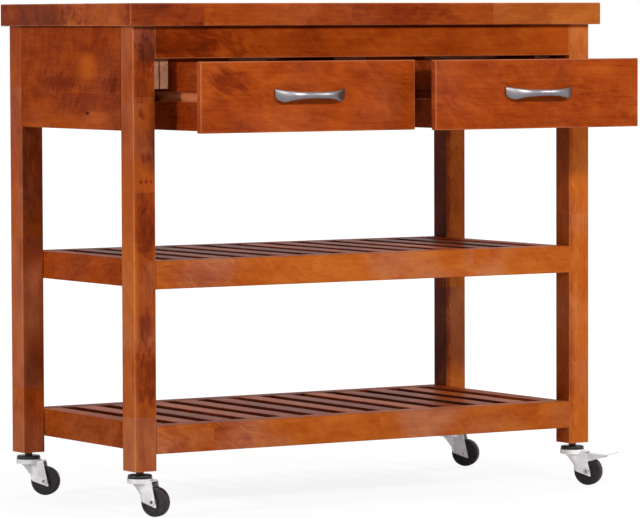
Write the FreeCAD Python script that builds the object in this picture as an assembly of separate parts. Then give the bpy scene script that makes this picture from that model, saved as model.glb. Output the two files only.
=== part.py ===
import FreeCAD
import Part
import math
import os

# A wooden kitchen cart: X runs along its width, Y from front to back, Z up.
# The origin is on the floor, under the middle of the four legs.

# worktop
top_thick = 38.0
top_side_overhang = 13.5
top_front_overhang = 17.0
top_back_overhang = 7.0

# frame
frame_width = 923.0
frame_depth = 431.0
leg_side = 42.0
leg_length = 738.0
apron_height = 173.0
apron_thick = 20.0
top_rail_height = 54.0
top_rail_thick = 22.0
bearer_thick = 30.0
leg_ease = 2.5
board_ease = 1.5

# shelves
lower_rail_rise = 28.0
upper_rail_rise = 302.0
rail_height = 47.0
rail_thick = 36.0
slat_count = 11
slat_width = 38.0
slat_thick = 15.0
ledger_side = 15.0

# drawer guides and runners
packer_thick = 15.5
guide_thick = 18.0
guide_height = 50.0
guide_clearance = 6.0
runner_root_height = 22.0
runner_setback = 78.0
inner_guide_setback = 45.0
guide_relief_width = 2.0
guide_relief_depth = 12.0
tongue_drop = 5.0
tongue_height = 16.0
tongue_reach = 7.0
groove_end_clearance = 1.0
groove_clearance = 0.6

# drawers
front_thick = 13.0
front_side_gap = 1.5
front_middle_gap = 2.0
front_top_gap = 4.0
front_drop = 2.0
closed_clearance = 0.5
side_thick = 15.0
side_step = 2.0
back_thick = 12.0
back_step = 5.0
bottom_thick = 5.0
bottom_rise = 8.0
bottom_tuck = 6.0
bottom_clearance = 0.3
drawer_back_gap = 21.0
left_pull = 146.0
right_pull = 205.0

# bow handles
handle_length = 136.0
handle_pitch = 96.0
handle_projection = 27.0
handle_end_projection = 1.2
handle_end_round = 14.0
handle_tip_rise = 5.5
handle_tip_height = 11.0
handle_belly_drop = 5.5
handle_waist_height = 10.5
handle_bar_depth = 6.0
handle_end_depth = 3.5
handle_lift = 2.0
post_radius = 4.2
post_tuck = 1.0
handle_screw_radius = 2.0
handle_screw_bite = 9.0
handle_screw_head = 4.5
handle_screw_head_thick = 2.5

# dowels, cleats and screws
dowel_radius = 4.0
dowel_length = 40.0
dowel_clearance = 0.05
rail_dowel_spread = 26.0
apron_dowel_spread = 90.0
cleat_side = 20.0
cleat_end_gap = 25.0
cleat_screws = 3
screw_radius = 2.0
screw_bite = 20.0
screw_head_radius = 4.0
screw_head_thick = 2.5
screw_clearance = 0.1

# castors
castor_height = 75.0
stem_radius = 5.0
stem_depth = 25.0
stem_clearance = 0.05
collar_radius = 6.5
insert_radius = 7.0
insert_length = 28.0
cap_radius = 20.5
cap_drop = 6.0
cap_thick = 6.0
cap_ease = 2.5
cup_radius = 21.5
cup_height = 7.5
cup_clearance = 0.4
fork_sheet = 2.0
swivel_clearance = 0.1
rivet_radius = 9.0
rivet_thick = 4.0
rivet_clearance = 0.3
trail = 30.5
wheel_radius = 25.0
wheel_width = 15.0
wheel_ease = 3.0
wheel_rim = 5.5
wheel_recess = 1.2
hub_radius = 9.0
hub_stand = 1.6
hub_clearance = 0.4
axle_radius = 4.0
axle_head_radius = 5.5
axle_head_thick = 2.2
axle_head_hollow = 3.0
axle_clearance = 0.08
fork_rim = 1.0
fork_neck = 21.0
fork_flare = 7.0
fork_flare_depth = 2.5
fork_slope = 0.75
fork_heel = 9.5
fork_tip_reach = 8.5
fork_tip_drop = 10.0
fork_tip_round = 3.5
fork_hood = 28.5
wheel_slot = 0.6
front_left_heading = -62.0
front_right_heading = -56.0
rear_left_heading = -44.0
rear_right_heading = -50.0

# brake on the front right castor
brake_pin_radius = 2.0
brake_pin_reach = 16.0
brake_pin_drop = 8.0
brake_length = 47.0
brake_fall = 5.0
brake_sheet = 1.4
brake_flange = 5.5
brake_wing = 13.0
brake_ear = 3.6
brake_gap = 0.3
pedal_length = 21.0
pedal_rise = 6.5
pedal_width = 15.0

# places that follow from the sizes
half_width = frame_width / 2
half_depth = frame_depth / 2
leg_bottom = castor_height
leg_top = leg_bottom + leg_length
inner_x = half_width - leg_side
inner_y = half_depth - leg_side
apron_bottom = leg_top - apron_height
top_rail_bottom = leg_top - top_rail_height
top_rail_back = -half_depth + top_rail_thick
apron_back_face = half_depth - apron_thick
guide_front = -half_depth + front_thick + closed_clearance
guide_bottom = top_rail_bottom - guide_height
outer_guide_x = inner_x - packer_thick - guide_thick
inner_guide_x = bearer_thick / 2 + guide_thick
tongue_top = guide_bottom - tongue_drop
tongue_bottom = tongue_top - tongue_height
box_outer_x = outer_guide_x - guide_clearance
box_inner_x = inner_guide_x + guide_clearance
front_top = top_rail_bottom - front_top_gap
front_bottom = apron_bottom - front_drop
side_top = front_top - side_step
side_bottom = front_bottom + side_step
bottom_floor = side_bottom + bottom_rise
bottom_top = bottom_floor + bottom_thick
drawer_length = frame_depth - apron_thick - drawer_back_gap
axle_z = wheel_radius - castor_height
cup_top = -cap_drop - cap_thick - cup_clearance
cup_bottom = cup_top - cup_height
fork_inner = wheel_width / 2 + hub_stand + hub_clearance
fork_outer = fork_inner + fork_sheet
front_dowel_y = half_depth - rail_thick / 2
corners = (
    ("front_left", -1, -1, front_left_heading),
    ("front_right", 1, -1, front_right_heading),
    ("rear_left", -1, 1, rear_left_heading),
    ("rear_right", 1, 1, rear_right_heading),
)

along_x = FreeCAD.Vector(1, 0, 0)
along_y = FreeCAD.Vector(0, 1, 0)
along_z = FreeCAD.Vector(0, 0, 1)
pieces = {}


def point(x, y, z):
    return FreeCAD.Vector(x, y, z)


def board(x0, x1, y0, y1, z0, z1):
    low = point(min(x0, x1), min(y0, y1), min(z0, z1))
    return Part.makeBox(abs(x1 - x0), abs(y1 - y0), abs(z1 - z0), low)


def rod(radius, start, axis, length):
    return Part.makeCylinder(radius, length, start, axis)


def eased(shape, radius, axis=None):
    """Round the edges that run along an axis, or every edge."""
    edges = []
    for edge in shape.Edges:
        run = edge.Vertexes[-1].Point - edge.Vertexes[0].Point
        if axis is None or abs(run.normalize().dot(axis)) > 0.99:
            edges.append(edge)
    box = shape.BoundBox
    thin = min(box.XLength, box.YLength, box.ZLength)
    return shape.makeFillet(min(radius, thin * 0.3), edges)


def drilled(wood, rods):
    """Cut the holes of the rods that reach into a piece."""
    for hole in rods:
        if wood.BoundBox.intersect(hole.BoundBox):
            wood = wood.cut(hole)
    return wood


def keep(name, *solids):
    pieces[name] = solids


def dowel_places():
    """Middle and axis of each dowel: rails and aprons into legs, side rails into rails."""
    places = []
    for rise in (lower_rail_rise, upper_rail_rise):
        middle = leg_bottom + rise + rail_height / 2
        for x in (-inner_x, inner_x):
            for y in (-front_dowel_y, front_dowel_y):
                for lift in (-rail_dowel_spread / 2, rail_dowel_spread / 2):
                    places.append((point(x, y, middle + lift), along_x))
            for y in (rail_thick - half_depth, half_depth - rail_thick):
                side_x = math.copysign(inner_x - rail_thick / 2, x)
                places.append((point(side_x, y, middle), along_y))
    apron_middle = leg_top - apron_height / 2
    for lift in (-apron_dowel_spread / 2, apron_dowel_spread / 2):
        for x in (-1, 1):
            side_x = x * (half_width - apron_thick / 2)
            for y in (-inner_y, inner_y):
                places.append((point(side_x, y, apron_middle + lift), along_y))
            back_y = half_depth - apron_thick / 2
            places.append((point(x * inner_x, back_y, apron_middle + lift), along_x))
    rail_middle = leg_top - top_rail_height / 2
    for lift in (-rail_dowel_spread / 2, rail_dowel_spread / 2):
        for x in (-inner_x, inner_x):
            front_y = top_rail_back - top_rail_thick / 2
            places.append((point(x, front_y, rail_middle + lift), along_x))
    return places


def dowels(extra):
    made = []
    for middle, axis in dowel_places():
        length = dowel_length + 2 * extra
        start = middle - axis * (length / 2)
        made.append(rod(dowel_radius + extra, start, axis, length))
    return made


def cleat_runs():
    """Corners of the strips under the worktop, with the axis each runs along."""
    outer = half_width - apron_thick
    reach = inner_y - cleat_end_gap
    runs = []
    for x in (-1, 1):
        runs.append((x * outer, x * (outer - cleat_side), -reach, reach, along_y))
        start = x * (bearer_thick / 2 + cleat_end_gap)
        end = x * (inner_x - cleat_end_gap)
        runs.append((start, end, apron_back_face - cleat_side, apron_back_face, along_x))
    return runs


def worktop_screws(extra):
    made = []
    low = leg_top - cleat_side
    for x0, x1, y0, y1, axis in cleat_runs():
        for step in range(cleat_screws):
            share = (step + 0.5) / cleat_screws
            x = (x0 + x1) / 2
            y = (y0 + y1) / 2
            if axis is along_x:
                x = x0 + (x1 - x0) * share
            else:
                y = y0 + (y1 - y0) * share
            shank = rod(screw_radius + extra, point(x, y, low), along_z, cleat_side + screw_bite + extra)
            head_start = point(x, y, low - screw_head_thick)
            head = rod(screw_head_radius, head_start, along_z, screw_head_thick)
            made.append(shank if extra else shank.fuse(head).removeSplitter())
    return made


def insert_holes(radius, depth):
    made = []
    for name, side, end, heading in corners:
        x = side * (half_width - leg_side / 2)
        y = end * (half_depth - leg_side / 2)
        made.append(rod(radius, point(x, y, leg_bottom), along_z, depth))
    return made


def make_top():
    slab = board(
        -half_width - top_side_overhang, half_width + top_side_overhang,
        -half_depth - top_front_overhang, half_depth + top_back_overhang,
        leg_top, leg_top + top_thick)
    slab = eased(slab, leg_ease)
    keep("worktop", drilled(slab, worktop_screws(screw_clearance)))
    strips = []
    for x0, x1, y0, y1, axis in cleat_runs():
        strip = board(x0, x1, y0, y1, leg_top - cleat_side, leg_top)
        strips.append(drilled(strip, worktop_screws(screw_clearance)))
    keep("worktop_cleats", *strips)
    keep("worktop_screws", *worktop_screws(0))


def make_frame():
    holes = dowels(dowel_clearance)
    inserts = insert_holes(insert_radius + stem_clearance, insert_length + stem_clearance)
    for name, side, end, heading in corners:
        leg = board(side * inner_x, side * half_width, end * inner_y, end * half_depth, leg_bottom, leg_top)
        leg = eased(leg, leg_ease, along_z)
        keep("leg_" + name, drilled(leg, holes + inserts))
    for name, side in (("apron_left", -1), ("apron_right", 1)):
        outer = side * half_width
        apron = board(outer, outer - side * apron_thick, -inner_y, inner_y, apron_bottom, leg_top)
        keep(name, drilled(eased(apron, board_ease, along_y), holes))
    apron = board(-inner_x, inner_x, apron_back_face, half_depth, apron_bottom, leg_top)
    keep("apron_back", drilled(eased(apron, board_ease, along_x), holes))
    rail = board(-inner_x, inner_x, -half_depth, top_rail_back, top_rail_bottom, leg_top)
    keep("front_top_rail", drilled(eased(rail, board_ease, along_x), holes))
    keep("joint_dowels", *dowels(0))


def make_shelf(name, rise):
    holes = dowels(dowel_clearance)
    low = leg_bottom + rise
    high = low + rail_height
    back = half_depth - rail_thick
    for place, end in (("front", -1), ("rear", 1)):
        rail = board(-inner_x, inner_x, end * back, end * half_depth, low, high)
        rail = eased(rail, board_ease, along_x)
        keep(name + "_" + place + "_rail", drilled(rail, holes))
    side_inner = inner_x - rail_thick
    for place, side in (("left", -1), ("right", 1)):
        rail = board(side * side_inner, side * inner_x, -back, back, low, high)
        rail = eased(rail, board_ease, along_y)
        keep(name + "_" + place + "_rail", drilled(rail, holes))
    ledge_top = high - slat_thick
    ledgers = []
    for end in (-1, 1):
        inner = end * (back - ledger_side)
        ledgers.append(board(-side_inner, side_inner, inner, end * back, ledge_top - ledger_side, ledge_top))
    keep(name + "_ledgers", *ledgers)
    gap = (2 * side_inner - slat_count * slat_width) / (slat_count + 1)
    slats = []
    for step in range(slat_count):
        left = -side_inner + gap + step * (slat_width + gap)
        slat = board(left, left + slat_width, -back, back, ledge_top, high)
        slats.append(eased(slat, board_ease, along_y))
    keep(name + "_slats", *slats)


def make_guides():
    half_bearer = bearer_thick / 2
    inner_front = guide_front + inner_guide_setback
    bearer = board(-half_bearer, half_bearer, top_rail_back, apron_back_face, top_rail_bottom, leg_top)
    web = board(-half_bearer, half_bearer, inner_front, apron_back_face, guide_bottom, leg_top)
    keep("centre_bearer", bearer.fuse(web).removeSplitter())
    runner_front = -half_depth + runner_setback
    packers = []
    guides = []
    runners = []
    for side, outer_front in ((-1, guide_front), (1, inner_front)):
        packer_inner = side * (inner_x - packer_thick)
        packer = board(
            side * inner_x, packer_inner, outer_front, apron_back_face, guide_bottom, top_rail_bottom)
        packers.append(eased(packer, board_ease, along_z))
        relief = board(
            packer_inner, packer_inner - side * guide_relief_width, outer_front,
            outer_front + guide_relief_depth, guide_bottom, top_rail_bottom)
        for face, root, box, start in (
                (outer_guide_x, packer_inner, box_outer_x, outer_front),
                (inner_guide_x, side * half_bearer, box_inner_x, inner_front)):
            face = side * face
            guide = board(root, face, start, apron_back_face, guide_bottom, top_rail_bottom)
            guides.append(eased(guide, board_ease, along_z).cut(relief))
            body = board(
                root, face, runner_front, apron_back_face, guide_bottom - runner_root_height, guide_bottom)
            inward = math.copysign(tongue_reach, box - abs(face)) * side
            tongue = board(
                root, side * box + inward, runner_front, apron_back_face, tongue_bottom, tongue_top)
            runners.append(body.fuse(tongue).removeSplitter())
    keep("guide_packers", *packers)
    keep("drawer_guides", *guides)
    keep("drawer_runners", *runners)


def bow_out(share):
    """Distance from the drawer front to the middle of the bow, from its middle to its end."""
    middle = handle_projection - handle_bar_depth / 2
    return middle + (handle_end_projection - middle) * share ** 2.5


def bow_section(x):
    """Upright ellipse of the bow: narrow in the middle, a belly near the ends, the tips turned up."""
    reach = handle_length / 2
    share = abs(x) / reach
    belly = min(1, abs(x) / (reach - handle_end_round))
    into_end = max(0, abs(x) - reach + handle_end_round) / handle_end_round
    top = handle_waist_height / 2 + handle_tip_rise * share ** 3
    bottom = -handle_waist_height / 2 - handle_belly_drop * belly ** 2.5
    tip_bottom = handle_waist_height / 2 + handle_tip_rise - handle_tip_height
    bottom = bottom + (tip_bottom - bottom) * (1 - math.sqrt(1 - 0.98 * into_end ** 2))
    tall = top - bottom
    deep = handle_bar_depth + (handle_end_depth - handle_bar_depth) * share ** 2
    centre = point(x, -bow_out(share), (top + bottom) / 2)
    ellipse = Part.Ellipse(centre + point(0, 0, tall / 2), centre + point(0, -deep / 2, 0), centre)
    return Part.Wire(ellipse.toShape())


def bow_handle():
    reach = handle_length / 2
    body = reach - handle_end_round
    half = [body * step / 6 for step in range(7)]
    half += [body + handle_end_round * share for share in (0.3, 0.6, 0.82, 0.95, 1)]
    places = [-x for x in reversed(half[1:])] + half
    bow = Part.makeLoft([bow_section(x) for x in places], True)
    for x in (-handle_pitch / 2, handle_pitch / 2):
        post = bow_out(abs(x) / reach) - post_tuck
        bow = bow.fuse(rod(post_radius, point(x, 0, 0), point(0, -1, 0), post))
    behind = board(-handle_length, handle_length, 0, handle_length, -handle_length, handle_length)
    bow = bow.removeSplitter().cut(behind)
    bite = handle_screw_bite + screw_clearance
    for x in (-handle_pitch / 2, handle_pitch / 2):
        bow = bow.cut(rod(handle_screw_radius + screw_clearance, point(x, 0, 0), point(0, -1, 0), bite))
    return bow


def handle_screw(x, extra):
    length = front_thick + handle_screw_bite
    start = point(x, front_thick, 0)
    shank = rod(handle_screw_radius + extra, start, point(0, -1, 0), length + extra)
    head = rod(handle_screw_head, start, along_y, handle_screw_head_thick)
    return shank if extra else shank.fuse(head).removeSplitter()


def make_drawer(name, side, pull):
    front_face = -half_depth - pull
    back_face = front_face + front_thick
    rear = front_face + drawer_length
    edges = (side * front_middle_gap / 2, side * (inner_x - front_side_gap))
    middle = sum(edges) / 2
    handle_place = point(middle, front_face, (front_top + front_bottom) / 2 + handle_lift)
    slot = board(
        side * (box_inner_x + side_thick - bottom_tuck), side * (box_outer_x - side_thick + bottom_tuck),
        back_face - bottom_tuck, rear, bottom_floor, bottom_top + bottom_clearance)
    face = board(edges[0], edges[1], front_face, back_face, front_bottom, front_top)
    face = eased(face, board_ease).cut(slot)
    screws = []
    for x in (-handle_pitch / 2, handle_pitch / 2):
        hole = handle_screw(x, screw_clearance)
        hole.translate(handle_place)
        face = face.cut(hole)
        screw = handle_screw(x, 0)
        screw.translate(handle_place)
        screws.append(screw)
    keep(name + "_front", face)
    ends = sorted(((side * box_inner_x, side), (side * box_outer_x, -side)))
    for place, (outer, inward) in zip(("left", "right"), ends):
        cheek = board(outer, outer + inward * side_thick, back_face, rear, side_bottom, side_top)
        groove = board(
            outer, outer + inward * (tongue_reach + groove_end_clearance), back_face, rear,
            tongue_bottom - groove_clearance, tongue_top + groove_clearance / 2)
        keep(name + "_" + place + "_side", cheek.cut(groove).cut(slot))
    inner = side * (box_inner_x + side_thick)
    outer = side * (box_outer_x - side_thick)
    back = board(inner, outer, rear - back_thick, rear, bottom_top + bottom_clearance, side_top - back_step)
    keep(name + "_back", back)
    spare = side * bottom_clearance
    tuck = side * bottom_tuck
    panel = board(
        inner - tuck + spare, outer + tuck - spare, back_face - bottom_tuck + bottom_clearance, rear,
        bottom_floor, bottom_top)
    keep(name + "_bottom", panel)
    handle = bow_handle()
    handle.translate(handle_place)
    keep(name + "_handle", handle)
    keep(name + "_screws", *screws)


def turned(shape, side, end, heading):
    """Put a castor piece under its leg, trailing along its heading."""
    shape.rotate(point(0, 0, 0), along_z, heading)
    shape.translate(point(side * (half_width - leg_side / 2), end * (half_depth - leg_side / 2), leg_bottom))
    return shape


def fork_outline(z, depth, inset):
    """Level outline of the fork's sheet: a round nose that narrows below the cup, then straight cheeks."""
    cup = cup_radius - fork_rim
    front = -cup + fork_slope * depth + fork_flare * (1 - math.exp(-depth / fork_flare_depth))
    half = fork_outer + (cup - fork_outer) * (1 - depth / fork_neck) ** 4
    shoulder = front + half
    knee = max(shoulder, fork_heel) + fork_rim
    back = trail + cup_radius + inset
    nose = Part.Arc(
        point(shoulder, half - inset, z), point(front + inset, 0, z), point(shoulder, inset - half, z))
    side = fork_outer - inset
    bends = [(shoulder, inset - half), (knee, -side), (back, -side), (back, side), (knee, side),
             (shoulder, half - inset)]
    edges = [nose.toShape()]
    for start, end in zip(bends, bends[1:]):
        edges.append(Part.makeLine(point(start[0], start[1], z), point(end[0], end[1], z)))
    return Part.Wire(edges)


def fork_shell(inset):
    top = cup_top - fork_sheet
    steps = 8
    levels = [(top - inset, 0)]
    for step in range(steps + 1):
        depth = fork_neck * step / steps
        levels.append((cup_bottom + fork_sheet - depth, depth))
    levels.append((axle_z - wheel_radius, fork_neck))
    return Part.makeLoft([fork_outline(z, depth, inset) for z, depth in levels], True, True)


def fork_side():
    """Side view of the fork, from the cup down to the tips that hold the axle."""
    width = 4 * cup_radius
    y = -width / 2
    neck = cup_bottom + fork_sheet - fork_neck
    top = cup_top - fork_sheet
    heel = point(fork_heel, y, axle_z)
    tip = point(trail + fork_tip_reach, y, axle_z - fork_tip_drop)
    hood = point(fork_hood, y, top)
    low = tip + (heel - tip).normalize() * fork_tip_round
    high = tip + (hood - tip).normalize() * fork_tip_round
    bulge = tip + ((low + high) * 0.5 - tip) * 0.5
    front = -cup_radius - fork_rim
    path = [high, hood, point(front, y, top), point(front, y, neck)]
    path += [point(fork_heel / 4, y, neck), heel, low]
    edges = [Part.makeLine(start, end) for start, end in zip(path, path[1:])]
    edges.append(Part.Arc(low, bulge, high).toShape())
    return Part.Face(Part.Wire(edges)).extrude(along_y * width)


def make_fork():
    cup = rod(cup_radius, point(0, 0, cup_bottom), along_z, cup_height)
    cup = cup.cut(rod(cup_radius - fork_sheet, point(0, 0, cup_bottom), along_z, cup_height - fork_sheet))
    mouth = board(
        cup_radius / 3, cup_radius * 2, -fork_inner, fork_inner, cup_bottom, cup_top - fork_sheet)
    half_slot = wheel_width / 2 + wheel_slot
    slot = board(
        -cup_radius, trail * 2, -half_slot, half_slot, axle_z - wheel_radius,
        cup_bottom + fork_sheet - fork_neck)
    crown_low = cup_top - 2 * fork_sheet
    crown = rod(cup_radius - fork_sheet, point(0, 0, crown_low), along_z, fork_sheet)
    sheet = fork_shell(0).cut(fork_shell(fork_sheet)).common(fork_side()).cut(slot).cut(crown)
    fork = cup.cut(mouth).fuse(sheet).removeSplitter()
    fork = fork.cut(rod(stem_radius + swivel_clearance, point(0, 0, cup_bottom), along_z, cup_height))
    reach = 4 * fork_outer
    return fork.cut(rod(axle_radius, point(trail, -reach / 2, axle_z), along_y, reach))


def make_axle():
    """Tubular rivet with a rolled head on each cheek."""
    axle = rod(axle_radius, point(trail, -fork_outer, axle_z), along_y, 2 * fork_outer)
    for y in (-fork_outer - axle_head_thick, fork_outer):
        axle = axle.fuse(rod(axle_head_radius, point(trail, y, axle_z), along_y, axle_head_thick))
    length = 2 * (fork_outer + axle_head_thick)
    axle = axle.removeSplitter()
    return axle.cut(rod(axle_head_hollow, point(trail, -length / 2, axle_z), along_y, length))


def make_wheel():
    start = point(trail, -wheel_width / 2, axle_z)
    wheel = eased(rod(wheel_radius, start, along_y, wheel_width), wheel_ease)
    for y in (-wheel_width / 2, wheel_width / 2 - wheel_recess):
        wheel = wheel.cut(rod(wheel_radius - wheel_rim, point(trail, y, axle_z), along_y, wheel_recess))
    hub_length = wheel_width + 2 * hub_stand
    wheel = wheel.fuse(rod(hub_radius, point(trail, -hub_length / 2, axle_z), along_y, hub_length))
    bore = rod(axle_radius + axle_clearance, point(trail, -hub_length / 2, axle_z), along_y, hub_length)
    return wheel.removeSplitter().cut(bore)


def make_stem():
    """Threaded post, collar nut above the cap and riveted head under the fork's cup."""
    head_top = cup_top - fork_sheet - rivet_clearance
    stem = rod(stem_radius, point(0, 0, head_top), along_z, stem_depth - head_top)
    stem = stem.fuse(rod(collar_radius, point(0, 0, -cap_drop), along_z, cap_drop))
    stem = stem.fuse(rod(rivet_radius, point(0, 0, head_top - rivet_thick), along_z, rivet_thick))
    return stem.removeSplitter()


def make_cap():
    cap = rod(cap_radius, point(0, 0, -cap_drop - cap_thick), along_z, cap_thick)
    rims = [edge for edge in cap.Edges if edge.Closed and abs(edge.CenterOfMass.z + cap_drop) < 0.01]
    cap = cap.makeFillet(min(cap_ease, cap_thick * 0.6), rims)
    return cap.cut(rod(stem_radius + stem_clearance, point(0, 0, -cap_drop - cap_thick), along_z, cap_thick))


def make_brake():
    """Toe lever: a bent strip with two pivot ears, that swings down onto the wheel."""
    pivot = point(brake_pin_reach, 0, cup_top - brake_pin_drop)
    start = brake_pin_reach - brake_ear
    end = brake_pin_reach + brake_length
    top = pivot.z + brake_ear - brake_sheet
    half = fork_inner - brake_gap

    def strip(outline, y, width):
        closed = Part.makePolygon([point(x, y, z) for x, z in outline + outline[:1]])
        return Part.Face(closed).extrude(along_y * width)

    web = strip(
        [(start, top), (end, top - brake_fall), (end, top - brake_fall + brake_sheet),
         (start, top + brake_sheet)], -half, 2 * half)
    lever = web
    for y in (-half, half - brake_sheet):
        high = top + brake_sheet
        ear = strip(
            [(start, high), (end, high - brake_fall), (end, high - brake_fall - brake_flange / 2),
             (trail + brake_wing, high - brake_wing), (trail, high - brake_wing - brake_ear),
             (brake_pin_reach + 2 * brake_ear, high - brake_wing), (start, pivot.z - brake_ear)],
            y, brake_sheet)
        lever = lever.fuse(ear)
    pedal_low = top - brake_fall
    pedal = strip(
        [(end - brake_sheet, pedal_low), (end + pedal_length, pedal_low + pedal_rise),
         (end + pedal_length, pedal_low + pedal_rise + brake_sheet),
         (end - brake_sheet, pedal_low + brake_sheet)], -pedal_width / 2, pedal_width)
    lever = lever.fuse(pedal).removeSplitter()
    reach = 4 * fork_outer
    hole = rod(brake_pin_radius + axle_clearance, pivot - along_y * (reach / 2), along_y, reach)
    pin = rod(brake_pin_radius, pivot - along_y * fork_outer, along_y, 2 * fork_outer)
    return lever.cut(hole), pin


def make_castors():
    inserts = []
    stems = []
    caps = []
    socket = rod(stem_radius + stem_clearance, point(0, 0, 0), along_z, insert_length)
    for name, side, end, heading in corners:
        sleeve = rod(insert_radius, point(0, 0, 0), along_z, insert_length).cut(socket)
        inserts.append(turned(sleeve, side, end, heading))
        stems.append(turned(make_stem(), side, end, heading))
        caps.append(turned(make_cap(), side, end, heading))
        fork = make_fork()
        if name == "front_right":
            lever, pin = make_brake()
            fork = fork.cut(pin)
            keep("brake_lever", turned(lever, side, end, heading))
            keep("brake_pin", turned(pin, side, end, heading))
        keep(name + "_fork", turned(fork, side, end, heading))
        keep(name + "_axle", turned(make_axle(), side, end, heading))
        keep(name + "_wheel", turned(make_wheel(), side, end, heading))
    keep("castor_inserts", *inserts)
    keep("castor_stems", *stems)
    keep("castor_caps", *caps)


make_top()
make_frame()
make_shelf("upper_shelf", upper_rail_rise)
make_shelf("lower_shelf", lower_rail_rise)
make_guides()
make_drawer("left_drawer", -1, left_pull)
make_drawer("right_drawer", 1, right_pull)
make_castors()

os.makedirs("parts", exist_ok=True)
for name, solids in pieces.items():
    shape = solids[0] if len(solids) == 1 else Part.makeCompound(list(solids))
    shape.exportStep("parts/" + name + ".step")
    print(name, len(shape.Solids), round(shape.Volume), shape.isValid())
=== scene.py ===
import math
import bpy
from mathutils import Matrix, Vector


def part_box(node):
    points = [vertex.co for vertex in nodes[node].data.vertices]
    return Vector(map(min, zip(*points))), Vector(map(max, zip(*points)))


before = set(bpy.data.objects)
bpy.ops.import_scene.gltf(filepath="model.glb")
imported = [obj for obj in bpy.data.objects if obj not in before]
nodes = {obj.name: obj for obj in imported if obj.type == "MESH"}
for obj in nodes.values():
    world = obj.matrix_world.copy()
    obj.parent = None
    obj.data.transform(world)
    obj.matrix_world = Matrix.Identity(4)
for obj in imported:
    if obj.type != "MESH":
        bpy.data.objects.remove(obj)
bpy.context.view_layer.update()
scene = bpy.context.scene
scene.view_settings.view_transform = "Standard"
mmPerMetre = 1000.0


def linearColour(code):  # "#RRGGBB" in sRGB to linear RGBA
    shares = [int(code[i:i + 2], 16) / 255 for i in (1, 3, 5)]
    linear = [s / 12.92 if s <= 0.04045 else ((s + 0.055) / 1.055) ** 2.4 for s in shares]
    return linear + [1.0]


# feeds: socket -> a value or another node's output, stops: a colour ramp's places and colours
def addNode(tree, kind, feeds=None, stops=None, **settings):
    node = tree.nodes.new(kind)
    for name, value in settings.items():
        setattr(node, name, value)
    for socket, value in (feeds or {}).items():
        if isinstance(value, bpy.types.NodeSocket):
            tree.links.new(value, node.inputs[socket])
        else:
            node.inputs[socket].default_value = value
    if stops:
        elements = node.color_ramp.elements
        while len(elements) < len(stops):
            elements.new(1.0)
        for element, (place, code) in zip(elements, stops):
            element.position = place
            element.color = linearColour(code)
    return node


def newMaterial(name):
    material = bpy.data.materials.new(name)
    material.use_nodes = True
    material.node_tree.nodes.clear()
    return material, material.node_tree


def dress(nodeName, material):  # a CAD node keeps its mesh and takes a new material
    mesh = nodes[nodeName].data
    mesh.materials.clear()
    mesh.materials.append(material)


def fromMiddle(tree, inMm, low, high):  # how far off a box's middle, and the box's half size
    middle = [(a + b) / 2 for a, b in zip(low, high)]
    half = [(b - a) / 2 for a, b in zip(low, high)]
    away = addNode(tree, "ShaderNodeVectorMath", {0: inMm, 1: middle}, operation="SUBTRACT")
    away = addNode(tree, "ShaderNodeVectorMath", {0: away.outputs[0]}, operation="ABSOLUTE")
    return away.outputs[0], half


def boxMask(tree, inMm, low, high):  # 1 inside a box given in mm, 0 outside
    away, half = fromMiddle(tree, inMm, low, high)
    ratio = addNode(tree, "ShaderNodeVectorMath", {0: away, 1: half}, operation="DIVIDE")
    x, y, z = addNode(tree, "ShaderNodeSeparateXYZ", {0: ratio.outputs[0]}).outputs
    far = addNode(tree, "ShaderNodeMath", {0: x, 1: y}, operation="MAXIMUM")
    far = addNode(tree, "ShaderNodeMath", {0: far.outputs[0], 1: z}, operation="MAXIMUM")
    inside = addNode(tree, "ShaderNodeMath", {0: far.outputs[0], 1: 1.0}, operation="LESS_THAN")
    return inside.outputs[0]


# a share along the eased edges of a box in mm, 0 on its faces
def edgeMask(tree, inMm, low, high, full, width, share):
    away, half = fromMiddle(tree, inMm, low, high)
    inward = addNode(tree, "ShaderNodeVectorMath", {0: half, 1: away}, operation="SUBTRACT")
    x, y, z = addNode(tree, "ShaderNodeSeparateXYZ", {0: inward.outputs[0]}).outputs
    least = addNode(tree, "ShaderNodeMath", {0: x, 1: y}, operation="MINIMUM")
    most = addNode(tree, "ShaderNodeMath", {0: x, 1: y}, operation="MAXIMUM")
    most = addNode(tree, "ShaderNodeMath", {0: most.outputs[0], 1: z}, operation="MINIMUM")
    second = addNode(tree, "ShaderNodeMath", {
        0: least.outputs[0], 1: most.outputs[0]}, operation="MAXIMUM")
    return addNode(tree, "ShaderNodeMapRange", {
        "Value": second.outputs[0], "From Min": full * width, "From Max": width,
        "To Min": share, "To Max": 0.0}, interpolation_type="SMOOTHSTEP").outputs[0]


spotLook = {"ragged": 0.9, "full": 0.75, "gone": 1.45}  # all but ragged are shares of the reach


# strength near a spot in mm, fading out raggedly to 0
def spotMask(tree, inMm, ragged, spot, reach, strength, look=spotLook):
    away = addNode(tree, "ShaderNodeVectorMath", {
        0: inMm, 1: [1 / r for r in reach], 2: [-s / r for s, r in zip(spot, reach)]},
        operation="MULTIPLY_ADD")
    away = addNode(tree, "ShaderNodeVectorMath", {0: away.outputs[0]}, operation="LENGTH")
    away = addNode(tree, "ShaderNodeMath", {
        0: ragged, 1: look["ragged"], 2: away.outputs["Value"]}, operation="MULTIPLY_ADD")
    return addNode(tree, "ShaderNodeMapRange", {
        "Value": away.outputs[0], "From Min": look["full"], "From Max": look["gone"],
        "To Min": strength, "To Max": 0.0}, interpolation_type="SMOOTHSTEP").outputs[0]


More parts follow.
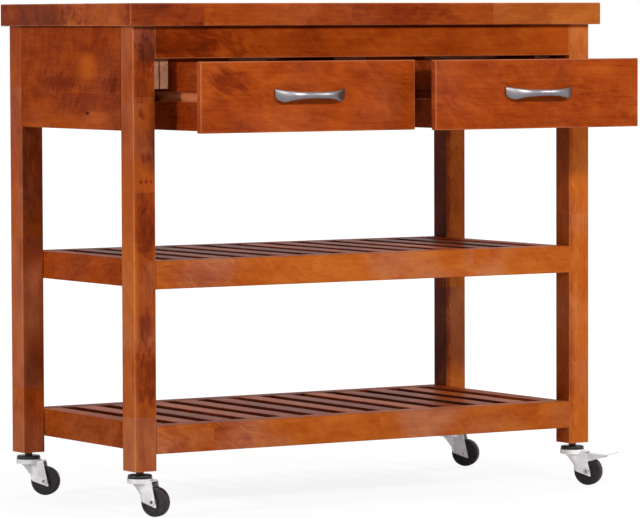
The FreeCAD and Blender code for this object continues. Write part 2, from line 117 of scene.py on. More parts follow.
# Acacia, finger jointed, planed, stained and sprayed with clear lacquer. The eye gets glued
# blocks of slightly different tone, soft cloudy stain, leaning curls of figure, fine streaks and
# short dark pores along the grain, and a satin shine. The eased edges are lighter, partly the
# stain rubbed thin and partly a painted highlight.
acaciaLook = {
    "levels": (0.0, 0.28, 0.52, 0.8, 1.0),  # where each colour lies, from heartwood to sapwood
    "red": ("#3E1204", "#7C2A08", "#A24410", "#BE5E1C", "#CC7632"),
    "amber": ("#3E1608", "#7C300F", "#A24D19", "#BE6A29", "#CC8546"), "amberSpread": 0.6,
    # mm across the grain, how much longer than wide, detail, roughness, distortion
    "cloud": (62.0, 1.7, 3.0, 0.5, 0.7),
    "curl": (15.0, 2.0, 2.5, 0.5, 1.1),
    "streak": (5.0, 16.0, 3.0, 0.6, 0.5),
    "pore": (1.4, 16.0, 2.0, 0.5, 0.0),  # real ones are 0.2 mm wide, drawn coarse enough to show
    "gains": {"cloud": 0.5, "curl": 0.3, "streak": 0.22},  # how much each moves the tone
    "poreFrom": 0.58, "poreTo": 0.74, "poreGain": -0.14,
    "seedSteps": (173.0, 57.0, 91.0), "rowSeed": 7.31,  # mm between pieces in the tree
    "blockSpread": (900.0, 900.0, 900.0),               # and between the blocks of one piece
    "lean": 35.0, "dull": 0.1,  # for a piece that has no curl or dull of its own
    "dullSize": 130.0, "dullFrom": 0.46, "dullTo": 0.66, "dullSaturation": 0.78, "dullValue": 0.97,
    # edge colour: partly the stain rubbed thin, partly a painted highlight along the eased edges
    "edge": "#D08C62", "edgeWidth": 2.4, "edgeFull": 0.35, "edgeShare": 0.6,
    "bare": ((0.3, "#A85530"), (0.7, "#C97B50")),
    "roughness": 0.42, "roughSpread": 0.08, "bump": 0.2, "bumpDepth": 0.0002,
    "specular": 0.03, "coat": 0.02, "coatRoughness": 0.2, "ior": 1.5,
}


# wood: axes along, across and through the grain, seed, tone, curl (how far the figure leans, in
# degrees), staves (first edge, width, length, difference), blocks (low, high, difference), marks
# (place, reach, strength), edges (the node that has them), bare (low, high), all in mm, amber
# (share of the yellower stain), faded (place, reach, more of it), dull (how far the colour greys
# in patches, partly the stain and partly a painted sheen), the key for upright faces (how much
# darker they are, painted shade), and shine, if not the look's
def lacqueredAcacia(name, wood, look=acaciaLook):
    material, tree = newMaterial(name)
    seed = wood["seed"]
    place = addNode(tree, "ShaderNodeTexCoord").outputs["Object"]
    inMm = addNode(tree, "ShaderNodeVectorMath", {
        0: place, "Scale": mmPerMetre}, operation="SCALE").outputs[0]
    split = addNode(tree, "ShaderNodeSeparateXYZ", {0: inMm}).outputs
    grain, across, through = (split[axis] for axis in wood["axes"])
    turned = addNode(tree, "ShaderNodeCombineXYZ", {0: grain, 1: across, 2: through}).outputs[0]
    shift = addNode(tree, "ShaderNodeVectorMath", {
        0: turned, 1: [seed * step for step in look["seedSteps"]]}, operation="ADD").outputs[0]
    gains = look["gains"]
    level = 0.5 + wood.get("tone", 0.0) - sum(gains.values()) / 2  # noise averages a half
    if "staves" in wood:  # each glued block is cut from another place in the tree
        firstEdge, width, length, difference = wood["staves"]
        row = addNode(tree, "ShaderNodeMath", {
            0: across, 1: 1 / width, 2: -firstEdge / width}, operation="MULTIPLY_ADD")
        row = addNode(tree, "ShaderNodeMath", {0: row.outputs[0]}, operation="FLOOR")
        rowSeed = addNode(tree, "ShaderNodeMath", {
            0: row.outputs[0], 1: seed * look["rowSeed"]}, operation="ADD").outputs[0]
        start = addNode(tree, "ShaderNodeTexWhiteNoise", {"W": rowSeed}, noise_dimensions="1D")
        block = addNode(tree, "ShaderNodeMath", {
            0: grain, 1: 1 / length, 2: start.outputs["Value"]}, operation="MULTIPLY_ADD")
        block = addNode(tree, "ShaderNodeMath", {0: block.outputs[0]}, operation="FLOOR")
        pair = addNode(tree, "ShaderNodeCombineXYZ", {0: rowSeed, 1: block.outputs[0]})
        chance = addNode(tree, "ShaderNodeTexWhiteNoise", {
            "Vector": pair.outputs[0]}, noise_dimensions="3D").outputs
        shift = addNode(tree, "ShaderNodeVectorMath", {
            0: chance["Color"], 1: look["blockSpread"], 2: shift},
            operation="MULTIPLY_ADD").outputs[0]
        level = addNode(tree, "ShaderNodeMath", {
            0: chance["Value"], 1: difference, 2: level - difference / 2},
            operation="MULTIPLY_ADD").outputs[0]

    lean = math.radians(wood.get("curl", look["lean"]))
    leaning = addNode(tree, "ShaderNodeMapping", {
        "Vector": shift, "Rotation": (0, 0, lean)}).outputs[0]
    figure = {}
    for pattern in ("cloud", "curl", "streak", "pore"):
        size, stretch, detail, roughness, distortion = look[pattern]
        drawn = addNode(tree, "ShaderNodeMapping", {
            "Vector": leaning if pattern == "curl" else shift, "Scale": (1 / stretch, 1, 1)})
        figure[pattern] = addNode(tree, "ShaderNodeTexNoise", {
            "Vector": drawn.outputs[0], "Scale": 1 / size, "Detail": detail,
            "Roughness": roughness, "Distortion": distortion}).outputs[0]
    cloud, curl, streak = figure["cloud"], figure["curl"], figure["streak"]
    pore = addNode(tree, "ShaderNodeMapRange", {
        "Value": figure["pore"], "From Min": look["poreFrom"],
        "From Max": look["poreTo"]}).outputs[0]

    shades = [(figure[pattern], gain) for pattern, gain in gains.items()]
    shades.append((pore, look["poreGain"]))
    for low, high, more in wood.get("blocks", ()):  # short blocks glued on one face
        shades.append((boxMask(tree, inMm, low, high), more))
    for source, gain in shades:
        level = addNode(tree, "ShaderNodeMath", {
            0: source, 1: gain, 2: level}, operation="MULTIPLY_ADD").outputs[0]
    for spot, reach, strength in wood.get("marks", ()):  # knots, heartwood and pale sapwood, and on some pieces painted shade and painted light
        near = spotMask(tree, inMm, curl, spot, reach, strength)
        level = addNode(tree, "ShaderNodeMath", {0: level, 1: near}, operation="ADD").outputs[0]
    if "uprightShade" in wood:  # painted shade on the upright sides of a flat piece, for the gaps between slats
        normal = addNode(tree, "ShaderNodeTexCoord").outputs["Normal"]
        uprightShadeMask = addNode(tree, "ShaderNodeSeparateXYZ", {0: normal}).outputs[2]
        uprightShadeMask = addNode(tree, "ShaderNodeMath", {0: uprightShadeMask}, operation="ABSOLUTE").outputs[0]
        uprightShadeMask = addNode(tree, "ShaderNodeMapRange", {
            "Value": uprightShadeMask, "To Min": wood["uprightShade"], "To Max": 0.0}).outputs[0]
        level = addNode(tree, "ShaderNodeMath", {0: level, 1: uprightShadeMask}, operation="ADD").outputs[0]

    red, amber = (addNode(tree, "ShaderNodeValToRGB", {"Fac": level}, stops=list(
        zip(look["levels"], look[stain]))).outputs[0] for stain in ("red", "amber"))
    share = addNode(tree, "ShaderNodeMath", {
        0: cloud, 1: look["amberSpread"], 2: wood.get("amber", 0.0) - look["amberSpread"] / 2},
        operation="MULTIPLY_ADD").outputs[0]
    for spot, reach, more in wood.get("faded", ()):
        near = spotMask(tree, inMm, curl, spot, reach, more)
        share = addNode(tree, "ShaderNodeMath", {0: share, 1: near}, operation="ADD").outputs[0]
    colour = addNode(tree, "ShaderNodeMix", {
        0: share, 6: red, 7: amber}, data_type="RGBA").outputs[2]
    # greyer patches, partly the stain and partly a painted sheen
    dullPlace = addNode(tree, "ShaderNodeTexNoise", {
        "Vector": shift, "Scale": 1 / look["dullSize"], "Detail": 1.0}).outputs[0]
    dullness = addNode(tree, "ShaderNodeMapRange", {
        "Value": dullPlace, "From Min": look["dullFrom"], "From Max": look["dullTo"],
        "To Max": wood.get("dull", look["dull"])}).outputs[0]
    dulled = addNode(tree, "ShaderNodeHueSaturation", {
        "Color": colour, "Saturation": look["dullSaturation"],
        "Value": look["dullValue"]}).outputs[0]
    colour = addNode(tree, "ShaderNodeMix", {
        0: dullness, 6: colour, 7: dulled}, data_type="RGBA").outputs[2]
    # lighter along the eased edges, partly the stain rubbed thin and partly a painted highlight
    if "edges" in wood:
        low, high = ([v * mmPerMetre for v in corner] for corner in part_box(wood["edges"]))
        wornAndHighlit = edgeMask(
            tree, inMm, low, high, look["edgeFull"], look["edgeWidth"], look["edgeShare"])
        wornAndHighlit = addNode(tree, "ShaderNodeMath", {
            0: wornAndHighlit, 1: cloud}, operation="MULTIPLY").outputs[0]
        colour = addNode(tree, "ShaderNodeMix", {
            0: wornAndHighlit, 6: colour, 7: linearColour(look["edge"])}, data_type="RGBA").outputs[2]
    for low, high in wood.get("bare", ()):  # a groove cut after staining shows bare wood
        raw = addNode(tree, "ShaderNodeValToRGB", {"Fac": streak}, stops=look["bare"]).outputs[0]
        colour = addNode(tree, "ShaderNodeMix", {
            0: boxMask(tree, inMm, low, high), 6: colour, 7: raw}, data_type="RGBA").outputs[2]

    rough = addNode(tree, "ShaderNodeMapRange", {
        "Value": streak, "To Min": look["roughness"] - look["roughSpread"],
        "To Max": look["roughness"] + look["roughSpread"]}).outputs[0]
    height = addNode(tree, "ShaderNodeMath", {
        0: pore, 1: -1.0, 2: streak}, operation="MULTIPLY_ADD").outputs[0]
    bump = addNode(tree, "ShaderNodeBump", {
        "Height": height, "Strength": look["bump"], "Distance": look["bumpDepth"]}).outputs[0]
    shader = addNode(tree, "ShaderNodeBsdfPrincipled", {
        "Base Color": colour, "Roughness": rough, "Normal": bump, "IOR": look["ior"],
        "Specular IOR Level": wood.get("shine", look["specular"]),
        "Coat Weight": wood.get("shine", look["coat"]),
        "Coat Roughness": look["coatRoughness"], "Coat IOR": look["ior"]})
    addNode(tree, "ShaderNodeOutputMaterial", {"Surface": shader.outputs[0]})
    return material


# how each wooden piece was cut; grain runs along object axis 0 = width, 1 = depth, 2 = height
slab = {
    "axes": (0, 1, 2), "seed": 1.0, "curl": 18.0, "amber": 0.1, "edges": "worktop",
    "staves": (-232.5, 75.8, 290.0, 0.07),
    # the left end is darker towards the rear and yellower; the front edge is darker at its left end
    # and lighter and yellower towards its right end
    "marks": (
        ((-476, 120, 832), (60, 260, 90), -0.26), ((-440, -232, 832), (150, 40, 60), -0.14),
        ((400, -233, 832), (220, 40, 90), 0.14), ((20, -233, 832), (170, 40, 90), -0.07)),
    "faded": (((-476, 0, 832), (90, 500, 90), 0.7), ((420, -233, 832), (240, 40, 90), 0.9)),
}
dress("worktop", lacqueredAcacia("acaciaWorktop", slab))

legCut = {"axes": (2, 0, 1), "curl": 8.0, "staves": (-600.0, 1200.0, 260.0, 0.06)}
legs = {
    "front_left": {
        "seed": 2.0, "tone": -0.05, "amber": 0.7, "dull": 0.3,
        "blocks": (
            ((-459, -230, 696), (-400, -208, 900), -0.1),
            ((-459, -230, 614), (-400, -208, 696), 0.03),
            ((-459, -230, 538), (-400, -208, 614), 0.08),
            ((-459, -230, 440), (-400, -208, 538), -0.06)),
        "marks": (
            ((-434, -219, 772), (30, 10, 52), -0.25), ((-446, -216, 668), (9, 6, 12), -0.2),
            ((-447, -217, 556), (4, 6, 5.5), -0.34), ((-438, -217, 556), (4, 6, 5.5), -0.3),
            ((-428, -217, 556), (4, 6, 5.5), -0.34), ((-436, -218, 596), (22, 12, 12), -0.16),
            ((-440, -218, 470), (24, 14, 70), -0.14), ((-440, -218, 320), (20, 12, 34), -0.2),
            # the first mark on this line lightens the left face, painted light
            ((-462, -195, 330), (12, 90, 450), 0.16), ((-440, -218, 235), (60, 14, 64), -0.19),
            ((-440, -218, 110), (60, 20, 50), 0.1)),
        "faded": (((-440, -195, 110), (60, 60, 110), 0.5),)},
    "front_right": {
        "seed": 3.0, "tone": 0.28, "amber": 0.4, "dull": 0.18,
        "marks": (
            # painted shade on the left face, where the left legs and aprons shade it, and at the
            # foot of the front face
            ((419, -195, 350), (14, 60, 900), -0.22), ((440, -217, 58), (60, 20, 18), -0.2))},
    "rear_left": {
        "seed": 4.0, "tone": -0.04, "amber": 0.4, "dull": 0.3,
        "marks": (
            # painted light on the lower left face, painted shade at the top of the front face,
            # painted light below it
            ((-462, 195, 220), (12, 90, 260), 0.14), ((-440, 172, 575), (60, 12, 120), -0.15),
            ((-440, 172, 345), (60, 12, 110), 0.17))},
    "rear_right": {
        "seed": 5.0, "tone": 0.1, "amber": 0.8, "dull": 0.3,
        # painted shade on the left face, where the left legs and aprons shade it
        "marks": (((419, 195, 450), (14, 60, 900), -0.35),)},
}
for corner, leg in legs.items():
    dress("leg_" + corner, lacqueredAcacia("acaciaLeg_" + corner, {
        **legCut, **leg, "edges": "leg_" + corner}))

apronCut = {"tone": -0.17, "amber": 0.3, "shine": 0.01, "staves": (580.0, 120.0, 2000.0, 0.08)}
aprons = {
    "apron_left": {"seed": 7.0, "axes": (1, 2, 0), "curl": 62.0, "marks": (
        ((-462, 30, 716), (10, 90, 18), -0.17), ((-462, -145, 716), (10, 50, 20), -0.17),
        ((-462, -64, 742), (10, 45, 34), 0.18), ((-462, -87, 660), (10, 60, 16), 0.2),
        ((-462, 105, 672), (10, 70, 26), 0.1), ((-462, 10, 642), (10, 190, 24), 0.22),
        ((-462, -60, 667), (6, 9, 4), -0.4))},
    "apron_right": {"seed": 8.0, "axes": (1, 2, 0), "curl": 50.0},
    "apron_back": {"seed": 9.0, "axes": (0, 2, 1), "curl": 40.0},
}
for name, apron in aprons.items():
    dress(name, lacqueredAcacia("acacia_" + name, {**apronCut, **apron}))
topRail = {
    "axes": (0, 2, 1), "seed": 10.0, "tone": -0.02, "curl": 20.0, "dull": 0.0, "shine": 0.005,
    "edges": "front_top_rail",
    # darker towards its left end and lighter towards its right end
    "marks": (((-400, -216, 786), (190, 20, 90), -0.24), ((340, -216, 786), (200, 20, 60), 0.1)),
}
dress("front_top_rail", lacqueredAcacia("acaciaTopRail", topRail))

railCut = {"curl": 25.0, "shine": 0.01, "staves": (-900.0, 1800.0, 330.0, 0.1)}
longRailCut = {**railCut, "axes": (0, 2, 1), "dull": 0.45}
sideRailCut = {**railCut, "axes": (1, 2, 0), "dull": 0.1}
railCuts = {"front_rail": longRailCut, "rear_rail": longRailCut,
            "left_rail": sideRailCut, "right_rail": sideRailCut}
# the slats' upright sides take painted shade for the gaps between them
slatCut = {"axes": (1, 0, 2), "curl": 12.0, "amber": 0.8, "shine": 0.021, "uprightShade": -0.5,
           "staves": (-383.5, 67.1, 2000.0, 0.3)}
shelves = {
    "upper_shelf": {
        "front_rail": {"seed": 11.0, "tone": 0.22, "amber": 0.6,
                       "marks": (((-350, -210, 400), (140, 20, 50), -0.1),)},
        "rear_rail": {"seed": 14.3, "tone": -0.15, "amber": 0.6,
                      # painted shade on the inner face
                      "marks": (((0, 179, 400), (900, 14, 60), -0.3),)},
        "left_rail": {"seed": 17.6, "tone": -0.07, "amber": 0.1},
        "right_rail": {"seed": 20.9, "tone": -0.07, "amber": 0.1},
        "slats": {"seed": 26.0, "tone": -0.18}},
    "lower_shelf": {
        "front_rail": {"seed": 12.0, "tone": 0.1, "amber": 0.6, "marks": (
            ((381, -210, 123), (8, 8, 3), -0.5), ((-330, -210, 123), (160, 20, 50), -0.12))},
        "rear_rail": {"seed": 15.3, "tone": -0.15, "amber": 0.6,
                      # painted shade on the inner face
                      "marks": (((0, 179, 126), (900, 14, 60), -0.3),)},
        "left_rail": {"seed": 18.6, "tone": -0.06, "amber": 0.7},
        "right_rail": {"seed": 21.9, "tone": -0.06, "amber": 0.7},
        "slats": {"seed": 27.0, "tone": -0.08}},
}
for shelf, pieces in shelves.items():
    for rail, cut in railCuts.items():
        name = shelf + "_" + rail
        dress(name, lacqueredAcacia("acacia_" + name, {**cut, **pieces[rail]}))
    slats = lacqueredAcacia("acaciaSlats_" + shelf, {**slatCut, **pieces["slats"]})
    dress(shelf + "_slats", slats)
    dress(shelf + "_ledgers", slats)

frontCut = {"axes": (0, 2, 1), "curl": 25.0}
sideCut = {"axes": (1, 2, 0), "curl": 15.0, "shine": 0.01}
backCut = {"axes": (0, 2, 1), "tone": -0.1}
drawers = {  # the groove for the runner is milled after staining
    "left_drawer": {
        "front": {"seed": 31.0, "tone": -0.03, "marks": (
            ((-365, -362, 722), (46, 20, 26), -0.24), ((-300, -362, 690), (60, 20, 14), -0.08))},
        "left_side": {"seed": 27.204, "tone": -0.2, "amber": 0.0,
                      "bare": (((-379.6, -600, 686.5), (-370.0, 600, 704.6)),)},
        "right_side": {"seed": 30.51, "tone": -0.2, "amber": 0.0,
                       "bare": (((-49.0, -600, 686.5), (-39.4, 600, 704.6)),)},
        "back": {"seed": 37.0}},
    "right_drawer": {
        "front": {"seed": 34.0, "tone": -0.07,
                  "marks": (((330, -421, 735), (60, 20, 16), 0.12),)},
        # on this drawer only the groove's lower lip is bare; the stained groove above it is painted
        # shade inside the groove
        "left_side": {"seed": 34.394, "tone": -0.24, "amber": 0.9,
                      "bare": (((39.4, -600, 686.5), (49.0, 600, 689.5)),)},
        "right_side": {"seed": 37.7, "tone": -0.24, "amber": 0.9,
                       "bare": (((370.0, -600, 686.5), (379.6, 600, 689.5)),)},
        "back": {"seed": 40.0}},
}
for drawer, pieces in drawers.items():
    dress(drawer + "_front", lacqueredAcacia("acaciaFront_" + drawer, {
        **frontCut, **pieces["front"], "edges": drawer + "_front"}))
    for side in ("left_side", "right_side"):
        name = drawer + "_" + side
        dress(name, lacqueredAcacia("acacia_" + name, {**sideCut, **pieces[side]}))
    dress(drawer + "_back", lacqueredAcacia("acaciaBack_" + drawer, {
        **backCut, **pieces["back"]}))
print("lacquered wood finished")

# Acacia, sawn and left bare inside the cart. The eye gets a dull pinkish tan with fine saw marks
# and no shine.
sawnLook = {
    "colours": ((0.5, "#8A5440"), (1.0, "#B98468")), "fibre": 2.2, "fibreStretch": 14.0,
    "patch": 40.0, "patchGain": 0.6, "roughness": 0.75, "specular": 0.2, "ior": 1.5,
    "bump": 0.5, "bumpDepth": 0.0004,
}
sawn, tree = newMaterial("sawnAcacia")
place = addNode(tree, "ShaderNodeTexCoord").outputs["Object"]
fibrePlace = addNode(tree, "ShaderNodeMapping", {"Vector": place, "Scale": (
    mmPerMetre, mmPerMetre / sawnLook["fibreStretch"], mmPerMetre)}).outputs[0]
fibre = addNode(tree, "ShaderNodeTexNoise", {
    "Vector": fibrePlace, "Scale": 1 / sawnLook["fibre"], "Detail": 3.0,
    "Distortion": 0.4}).outputs[0]
patch = addNode(tree, "ShaderNodeTexNoise", {
    "Vector": place, "Scale": mmPerMetre / sawnLook["patch"]}).outputs[0]
level = addNode(tree, "ShaderNodeMath", {
    0: patch, 1: sawnLook["patchGain"], 2: fibre}, operation="MULTIPLY_ADD").outputs[0]
colour = addNode(tree, "ShaderNodeValToRGB", {"Fac": level}, stops=sawnLook["colours"])
bump = addNode(tree, "ShaderNodeBump", {
    "Height": fibre, "Strength": sawnLook["bump"], "Distance": sawnLook["bumpDepth"]})
shader = addNode(tree, "ShaderNodeBsdfPrincipled", {
    "Base Color": colour.outputs[0], "Roughness": sawnLook["roughness"],
    "Normal": bump.outputs[0], "IOR": sawnLook["ior"],
    "Specular IOR Level": sawnLook["specular"]})
addNode(tree, "ShaderNodeOutputMaterial", {"Surface": shader.outputs[0]})
for name in ("centre_bearer", "guide_packers", "drawer_guides", "drawer_runners",
             "worktop_cleats", "joint_dowels"):
    dress(name, sawn)

# Birch plywood, rotary peeled and sealed, for the drawer bottoms. The eye gets pale wandering
# bands and a dull sheen.
plyLook = {
    "colours": ((0.45, "#B58C5E"), (0.85, "#D8B98C")), "band": 26.0, "bandStretch": 5.0,
    "fibre": 1.6, "fibreStretch": 20.0, "fibreGain": 0.35, "roughness": 0.5, "specular": 0.3,
    "ior": 1.5, "bump": 0.2, "bumpDepth": 0.0002,
}
ply, tree = newMaterial("sealedBirchPly")
place = addNode(tree, "ShaderNodeTexCoord").outputs["Object"]
bandPlace = addNode(tree, "ShaderNodeMapping", {"Vector": place, "Scale": (
    mmPerMetre, mmPerMetre / plyLook["bandStretch"], mmPerMetre)}).outputs[0]
band = addNode(tree, "ShaderNodeTexNoise", {
    "Vector": bandPlace, "Scale": 1 / plyLook["band"], "Detail": 4.0,
    "Distortion": 1.6}).outputs[0]
fibrePlace = addNode(tree, "ShaderNodeMapping", {"Vector": place, "Scale": (
    mmPerMetre, mmPerMetre / plyLook["fibreStretch"], mmPerMetre)}).outputs[0]
fibre = addNode(tree, "ShaderNodeTexNoise", {
    "Vector": fibrePlace, "Scale": 1 / plyLook["fibre"], "Detail": 2.0}).outputs[0]
level = addNode(tree, "ShaderNodeMath", {
    0: fibre, 1: plyLook["fibreGain"], 2: band}, operation="MULTIPLY_ADD").outputs[0]
colour = addNode(tree, "ShaderNodeValToRGB", {"Fac": level}, stops=plyLook["colours"])
bump = addNode(tree, "ShaderNodeBump", {
    "Height": fibre, "Strength": plyLook["bump"], "Distance": plyLook["bumpDepth"]})
shader = addNode(tree, "ShaderNodeBsdfPrincipled", {
    "Base Color": colour.outputs[0], "Roughness": plyLook["roughness"],
    "Normal": bump.outputs[0], "IOR": plyLook["ior"],
    "Specular IOR Level": plyLook["specular"]})
addNode(tree, "ShaderNodeOutputMaterial", {"Surface": shader.outputs[0]})
for drawer in drawers:
    dress(drawer + "_bottom", ply)
print("inside wood finished")

# Mild steel, pressed and bright zinc plated. The eye gets a smooth cool pale grey, a little
# cloudy. A paler copy on the fork of the braked castor is painted light for that brighter corner.
zincLook = {
    "clear": {"colours": ((0.3, "#CAC8CC"), (0.7, "#E2E0E3")), "metallic": 0.75},
    "paintedLit": {"colours": ((0.3, "#EAE8EA"), (0.7, "#F8F7F8")), "metallic": 0.55},
    "patch": 16.0, "roughness": 0.4, "roughSpread": 0.06,
}
zinc = {}
for kind in ("clear", "paintedLit"):
    look = zincLook[kind]
    zinc[kind], tree = newMaterial("zincPlatedSteel_" + kind)
    place = addNode(tree, "ShaderNodeTexCoord").outputs["Object"]
    patch = addNode(tree, "ShaderNodeTexNoise", {
        "Vector": place, "Scale": mmPerMetre / zincLook["patch"], "Detail": 2.0,
        "Distortion": 0.4}).outputs[0]
    colour = addNode(tree, "ShaderNodeValToRGB", {"Fac": patch}, stops=look["colours"])
    rough = addNode(tree, "ShaderNodeMapRange", {
        "Value": patch, "To Min": zincLook["roughness"] - zincLook["roughSpread"],
        "To Max": zincLook["roughness"] + zincLook["roughSpread"]})
    shader = addNode(tree, "ShaderNodeBsdfPrincipled", {
        "Base Color": colour.outputs[0], "Metallic": look["metallic"],
        "Roughness": rough.outputs[0]})
    addNode(tree, "ShaderNodeOutputMaterial", {"Surface": shader.outputs[0]})

# Zinc die casting, brushed and satin nickel plated. The eye gets a soft grey shine, drawn out
# along the bar.
nickelLook = {
    "colours": ((0.3, "#6A6569"), (0.7, "#8A8588")), "lineWidth": 0.5, "lineStretch": 30.0,
    "metallic": 1.0, "roughness": 0.33, "roughSpread": 0.07,
}
nickel, tree = newMaterial("satinNickel")
place = addNode(tree, "ShaderNodeTexCoord").outputs["Object"]
linePlace = addNode(tree, "ShaderNodeMapping", {"Vector": place, "Scale": (
    mmPerMetre / nickelLook["lineStretch"], mmPerMetre, mmPerMetre)}).outputs[0]
line = addNode(tree, "ShaderNodeTexNoise", {
    "Vector": linePlace, "Scale": 1 / nickelLook["lineWidth"], "Detail": 2.0}).outputs[0]
colour = addNode(tree, "ShaderNodeValToRGB", {"Fac": line}, stops=nickelLook["colours"])
rough = addNode(tree, "ShaderNodeMapRange", {
    "Value": line, "To Min": nickelLook["roughness"] - nickelLook["roughSpread"],
    "To Max": nickelLook["roughness"] + nickelLook["roughSpread"]})
shader = addNode(tree, "ShaderNodeBsdfPrincipled", {
    "Base Color": colour.outputs[0], "Metallic": nickelLook["metallic"],
    "Roughness": rough.outputs[0]})
addNode(tree, "ShaderNodeOutputMaterial", {"Surface": shader.outputs[0]})

# Mild steel, turned. The eye gets a dull brown that hardly shines, painted shade under the leg and
# a painted reflection of the wood above.
stemShadeMetalLook = {
    "colours": ((0.35, "#4A3026"), (0.7, "#7A5A48")), "grain": 3.0,
    "metallic": 0.3, "roughness": 0.55, "roughSpread": 0.1,
}
stemShadeMetal, tree = newMaterial("steelStemPaintedShade")
place = addNode(tree, "ShaderNodeTexCoord").outputs["Object"]
grain = addNode(tree, "ShaderNodeTexNoise", {
    "Vector": place, "Scale": mmPerMetre / stemShadeMetalLook["grain"], "Detail": 3.0}).outputs[0]
colour = addNode(tree, "ShaderNodeValToRGB", {"Fac": grain}, stops=stemShadeMetalLook["colours"])
rough = addNode(tree, "ShaderNodeMapRange", {
    "Value": grain, "To Min": stemShadeMetalLook["roughness"] - stemShadeMetalLook["roughSpread"],
    "To Max": stemShadeMetalLook["roughness"] + stemShadeMetalLook["roughSpread"]})
shader = addNode(tree, "ShaderNodeBsdfPrincipled", {
    "Base Color": colour.outputs[0], "Metallic": stemShadeMetalLook["metallic"],
    "Roughness": rough.outputs[0]})
addNode(tree, "ShaderNodeOutputMaterial", {"Surface": shader.outputs[0]})

# Polypropylene, moulded, black for the dust caps and dark grey for the wheels.
# The eye gets a soft waxy shine over a very fine grain, with dust and scuffs paler than the rest.
mouldedLook = {
    "cap": {"colours": ((0.4, "#0E0D0E"), (0.75, "#1E1C1D")), "roughness": 0.34, "specular": 0.4},
    "wheel": {"colours": ((0.4, "#252124"), (0.75, "#3C3639")), "roughness": 0.5, "specular": 0.25},
    "smoother": 0.08, "rougher": 0.1, "ior": 1.49, "bump": 0.2, "bumpDepth": 0.0001,
    "grain": 1.2, "scuffSize": 9.0,  # mm, the grain of the mould is drawn coarser than it is
}
moulded = {}
for kind in ("cap", "wheel"):
    look = mouldedLook[kind]
    moulded[kind], tree = newMaterial("mouldedPolypropylene_" + kind)
    place = addNode(tree, "ShaderNodeTexCoord").outputs["Object"]
    scuff = addNode(tree, "ShaderNodeTexNoise", {
        "Vector": place, "Scale": mmPerMetre / mouldedLook["scuffSize"], "Detail": 4.0,
        "Roughness": 0.65}).outputs[0]
    grain = addNode(tree, "ShaderNodeTexNoise", {
        "Vector": place, "Scale": mmPerMetre / mouldedLook["grain"]}).outputs[0]
    colour = addNode(tree, "ShaderNodeValToRGB", {"Fac": scuff}, stops=look["colours"])
    rough = addNode(tree, "ShaderNodeMapRange", {
        "Value": scuff, "To Min": look["roughness"] - mouldedLook["smoother"],
        "To Max": look["roughness"] + mouldedLook["rougher"]})
    bump = addNode(tree, "ShaderNodeBump", {
        "Height": grain, "Strength": mouldedLook["bump"], "Distance": mouldedLook["bumpDepth"]})
    shader = addNode(tree, "ShaderNodeBsdfPrincipled", {
        "Base Color": colour.outputs[0], "Roughness": rough.outputs[0],
        "Normal": bump.outputs[0], "IOR": mouldedLook["ior"],
        "Specular IOR Level": look["specular"]})
    addNode(tree, "ShaderNodeOutputMaterial", {"Surface": shader.outputs[0]})

for corner in legs:
    # the braked castor's fork takes the paler copy, painted light
    dress(corner + "_fork", zinc["paintedLit" if corner == "front_right" else "clear"])
    dress(corner + "_axle", zinc["clear"])
    dress(corner + "_wheel", moulded["wheel"])
for piece in ("brake_lever", "brake_pin", "castor_inserts", "worktop_screws"):
    dress(piece, zinc["clear"])
# the stems' dull brown is painted shade and a painted reflection of the wood above
dress("castor_stems", stemShadeMetal)
dress("castor_caps", moulded["cap"])
for drawer in drawers:
    dress(drawer + "_handle", nickel)
    dress(drawer + "_screws", zinc["clear"])
print("metal and plastic finished")

# Floor and background: white to the eye, with a faint share of the cart's shadow on the floor
# near it, and more of that shade in reflections
stageLook = {
    "paint": ((0.3, "#E4E4E2"), (0.7, "#E6E6E4")), "speckSize": 25.0, "reach": 60.0,
    "near": 0.5, "shadowShare": 0.18, "shadowReach": 1.5, "mirrorShare": 0.3, "mirrorReach": 5.0,
    "glow": 1.09, "ambient": 0.06,
}
bpy.ops.mesh.primitive_plane_add(size=stageLook["reach"])
floor = bpy.context.object
floor.name = "studioFloor"
floorPaint, tree = newMaterial("matPaintFloor")
place = addNode(tree, "ShaderNodeTexCoord").outputs["Object"]
away = addNode(tree, "ShaderNodeVectorMath", {0: place}, operation="LENGTH").outputs["Value"]
shadow = addNode(tree, "ShaderNodeMapRange", {
    "Value": away, "From Min": stageLook["near"], "From Max": stageLook["shadowReach"],
    "To Min": 1 - stageLook["shadowShare"], "To Max": 1.0}, interpolation_type="SMOOTHSTEP")
mirrored = addNode(tree, "ShaderNodeMapRange", {
    "Value": away, "From Min": stageLook["near"], "From Max": stageLook["mirrorReach"],
    "To Min": stageLook["mirrorShare"], "To Max": 1.0}, interpolation_type="SMOOTHSTEP")
rays = addNode(tree, "ShaderNodeLightPath").outputs
seen = addNode(tree, "ShaderNodeMath", {
    0: rays["Is Camera Ray"], 1: rays["Is Transmission Ray"]}, operation="MAXIMUM")
share = addNode(tree, "ShaderNodeMath", {
    0: seen.outputs[0], 1: shadow.outputs[0]}, operation="MULTIPLY")
share = addNode(tree, "ShaderNodeMath", {
    0: rays["Is Glossy Ray"], 1: mirrored.outputs[0], 2: share.outputs[0]},
    operation="MULTIPLY_ADD")
speck = addNode(tree, "ShaderNodeTexNoise", {
    "Vector": place, "Scale": mmPerMetre / stageLook["speckSize"]})
paint = addNode(tree, "ShaderNodeValToRGB", {"Fac": speck.outputs[0]}, stops=stageLook["paint"])
diffuse = addNode(tree, "ShaderNodeBsdfDiffuse", {"Color": paint.outputs[0]})
glow = addNode(tree, "ShaderNodeEmission", {"Color": (1, 1, 1, 1), "Strength": stageLook["glow"]})
mixed = addNode(tree, "ShaderNodeMixShader", {
    0: share.outputs[0], 1: diffuse.outputs[0], 2: glow.outputs[0]})
addNode(tree, "ShaderNodeOutputMaterial", {"Surface": mixed.outputs[0]})
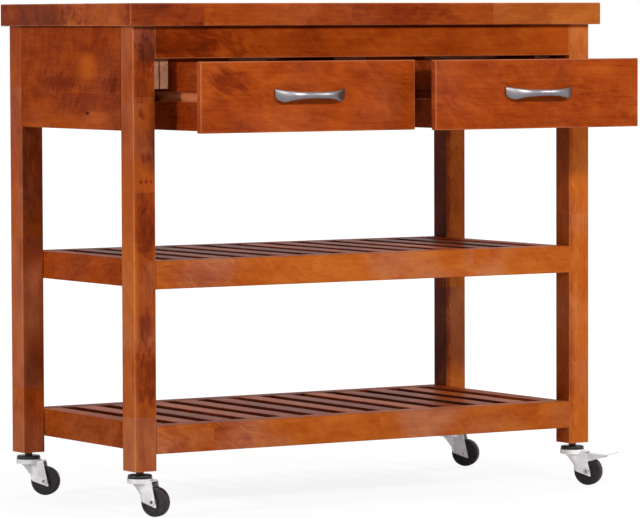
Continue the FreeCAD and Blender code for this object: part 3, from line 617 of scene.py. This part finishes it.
floor.data.materials.append(floorPaint)

world = bpy.data.worlds.new("studioWorld")
world.use_nodes = True
tree = world.node_tree
tree.nodes.clear()
rays = addNode(tree, "ShaderNodeLightPath").outputs
seen = addNode(tree, "ShaderNodeMath", {
    0: rays["Is Camera Ray"], 1: rays["Is Glossy Ray"]}, operation="MAXIMUM")
seen = addNode(tree, "ShaderNodeMath", {
    0: seen.outputs[0], 1: rays["Is Transmission Ray"]}, operation="MAXIMUM")
strength = addNode(tree, "ShaderNodeMapRange", {
    "Value": seen.outputs[0], "To Min": stageLook["ambient"], "To Max": 1.0})
sky = addNode(tree, "ShaderNodeBackground", {
    "Color": (1, 1, 1, 1), "Strength": strength.outputs[0]})
addNode(tree, "ShaderNodeOutputWorld", {"Surface": sky.outputs[0]})
scene.world = world

# softboxes: place, aim and size in metres, power in watts, and whether shiny surfaces mirror them
lampSettings = {
    "keyFront": {"place": (-0.2, -3.0, 1.77), "aim": (0.0, -0.1, 0.5), "size": (0.25, 0.25),
                 "power": 40.0, "mirrored": True},
    "fillRight": {"place": (2.6, -3.0, 2.0), "aim": (0.0, -0.1, 0.5), "size": (0.9, 0.9),
                  "power": 50.0, "mirrored": True},
    "sideLeft": {"place": (-3.5, -0.05, 1.5), "aim": (0.0, -0.1, 0.5), "size": (0.25, 0.25),
                 "power": 59.0, "mirrored": True},
    "backRight": {"place": (3.3, 1.6, 2.0), "aim": (0.0, 0.1, 0.5), "size": (1.4, 1.4),
                  "power": 60.0, "mirrored": False},
    "fillLeft": {"place": (-2.0, -3.0, 1.8), "aim": (0.0, -0.1, 0.5), "size": (0.4, 0.4),
                 "power": 20.0, "mirrored": True},
    "overHead": {"place": (0.0, 0.1, 2.9), "aim": (0.0, 0.0, 0.8), "size": (0.8, 0.8),
                 "power": 20.0, "mirrored": True},
}
for name, lamp in lampSettings.items():
    light = bpy.data.lights.new(name, "AREA")
    light.shape = "RECTANGLE"
    light.size, light.size_y = lamp["size"]
    light.energy = lamp["power"]
    lampObject = bpy.data.objects.new(name, light)
    lampObject.visible_glossy = lamp["mirrored"]
    scene.collection.objects.link(lampObject)
    aim = Vector(lamp["aim"]) - Vector(lamp["place"])
    turn = aim.to_track_quat("-Z", "Y").to_matrix().to_4x4()
    lampObject.matrix_world = Matrix.Translation(lamp["place"]) @ turn
print("studio lit")

cameraSettings = {  # fitted to the corners of the cart in the photograph, which is 640 x 518
    "place": (-4.0027, -6.4301, 0.8230), "yaw": 0.5609, "pitch": -0.0552, "roll": -0.0034,
    "focalPixels": 4335.3, "imageWidth": 640, "sensor": 36.0, "clipEnd": 200.0,
}
cameraData = bpy.data.cameras.new("photoCamera")
cameraData.sensor_fit = "HORIZONTAL"
cameraData.sensor_width = cameraSettings["sensor"]
cameraData.lens = (
    cameraSettings["focalPixels"] * cameraSettings["sensor"] / cameraSettings["imageWidth"])
cameraData.clip_end = cameraSettings["clipEnd"]
camera = bpy.data.objects.new("photoCamera", cameraData)
scene.collection.objects.link(camera)
camera.matrix_world = (
    Matrix.Translation(cameraSettings["place"])
    @ Matrix.Rotation(-cameraSettings["yaw"], 4, "Z")
    @ Matrix.Rotation(math.pi / 2 + cameraSettings["pitch"], 4, "X")
    @ Matrix.Rotation(cameraSettings["roll"], 4, "Z"))
scene.camera = camera
print("camera placed")
